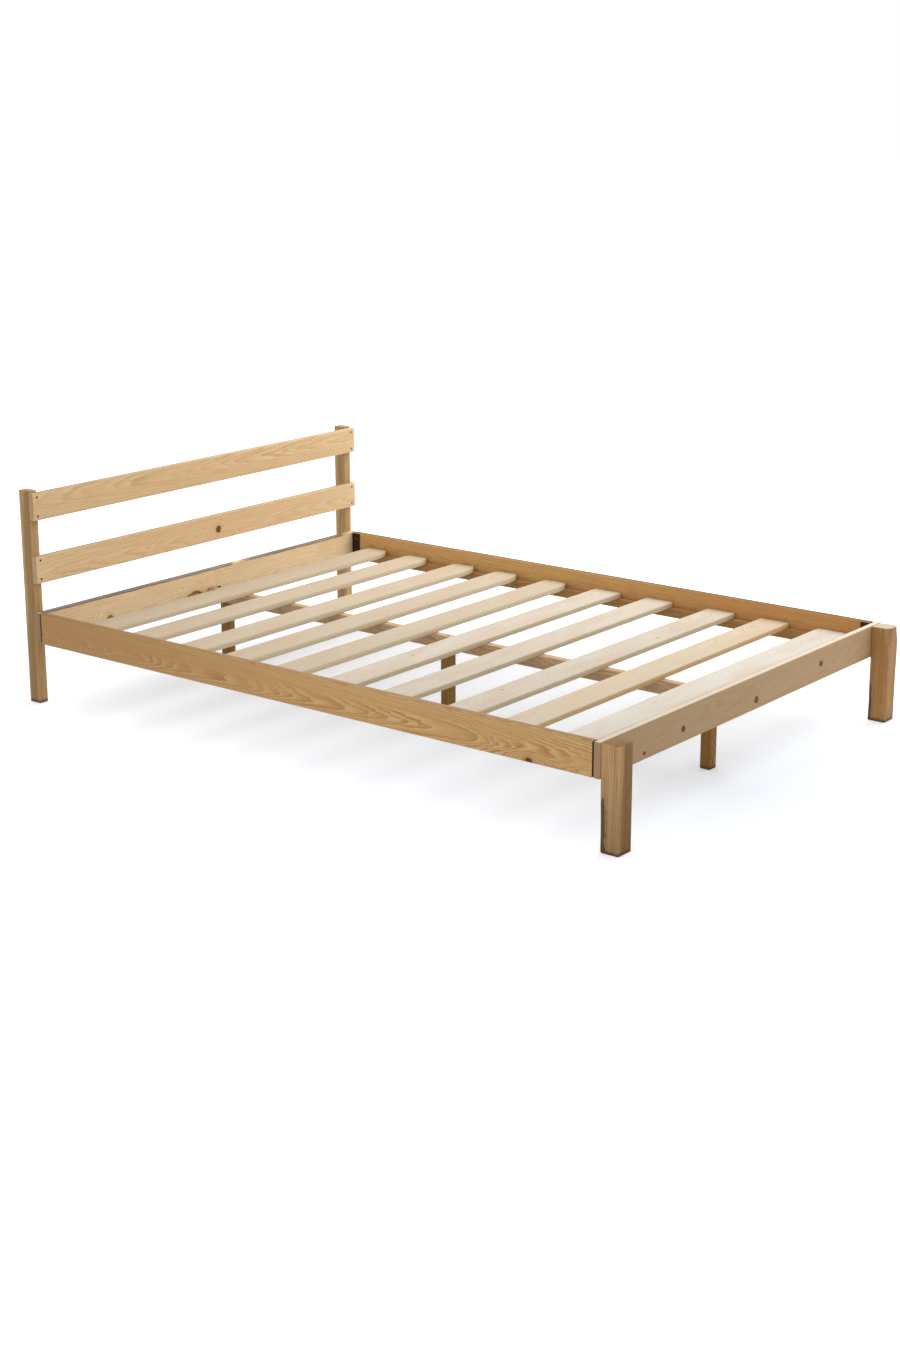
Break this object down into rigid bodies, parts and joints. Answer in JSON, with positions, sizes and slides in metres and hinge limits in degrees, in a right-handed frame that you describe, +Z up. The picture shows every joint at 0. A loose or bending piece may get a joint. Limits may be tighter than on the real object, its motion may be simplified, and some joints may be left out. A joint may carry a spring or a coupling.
{
  "type": "slatted bed frame",
  "caption": "Low double bed frame in pine with an open slatted headboard, loose bed slats on ledgers, a centre beam on short legs and hook-on side rails.",
  "frame": {"origin": "on the floor, under the middle of the bed's box", "axes": "+Z up, +Y along the bed towards the head, +X to the right as seen from the foot"},
  "size_m": [1.45, 2.153, 0.653],
  "materials": {
    "side_rail_pine": "oiled pine, flat sawn, satin",
    "cross_rail_pine": "oiled pine with knots, satin",
    "headboard_pine": "oiled pine, satin",
    "post_pine": "oiled pine, satin",
    "leg_pine": "oiled pine, darker, satin",
    "slat_pine": "pale planed pine, matt",
    "beam_pine": "oiled pine, satin",
    "centre_leg_pine": "oiled pine, darker, satin",
    "black_steel": "black powder coat",
    "zinc_steel": "zinc plated"
  },
  "bodies": {
    "root": {"side_rail_left": "side_rail_pine", "side_rail_right": "side_rail_pine", "slat_ledger_left": "side_rail_pine", "slat_ledger_right": "side_rail_pine", "head_rail": "cross_rail_pine", "foot_rail": "cross_rail_pine", "headboard_slat_upper": "headboard_pine", "headboard_slat_lower": "headboard_pine", "head_post_left": "post_pine", "head_post_right": "post_pine", "foot_leg_left": "leg_pine", "foot_leg_right": "leg_pine", "bed_slat_01": "slat_pine", "bed_slat_02": "slat_pine", "bed_slat_03": "slat_pine", "bed_slat_04": "slat_pine", "bed_slat_05": "slat_pine", "bed_slat_06": "slat_pine", "bed_slat_07": "slat_pine", "bed_slat_08": "slat_pine", "bed_slat_09": "slat_pine", "bed_slat_10": "slat_pine", "centre_beam": "beam_pine", "centre_leg_foot": "centre_leg_pine", "centre_leg_middle": "centre_leg_pine", "centre_leg_head": "centre_leg_pine", "hook_bracket_foot_left": "black_steel", "hook_bracket_foot_right": "black_steel", "hook_bracket_head_left": "black_steel", "hook_bracket_head_right": "black_steel", "keeper_plate_foot_left": "black_steel", "keeper_plate_foot_right": "black_steel", "keeper_plate_head_left": "black_steel", "keeper_plate_head_right": "black_steel", "beam_angle_foot": "black_steel", "beam_angle_head": "black_steel", "keeper_screws": "zinc_steel", "bracket_screws": "zinc_steel", "foot_rail_screws": "zinc_steel", "headboard_screws": "zinc_steel", "beam_angle_screws": "zinc_steel", "centre_leg_screws": "zinc_steel", "ledger_screws": "zinc_steel"}
  },
  "joints": []
}
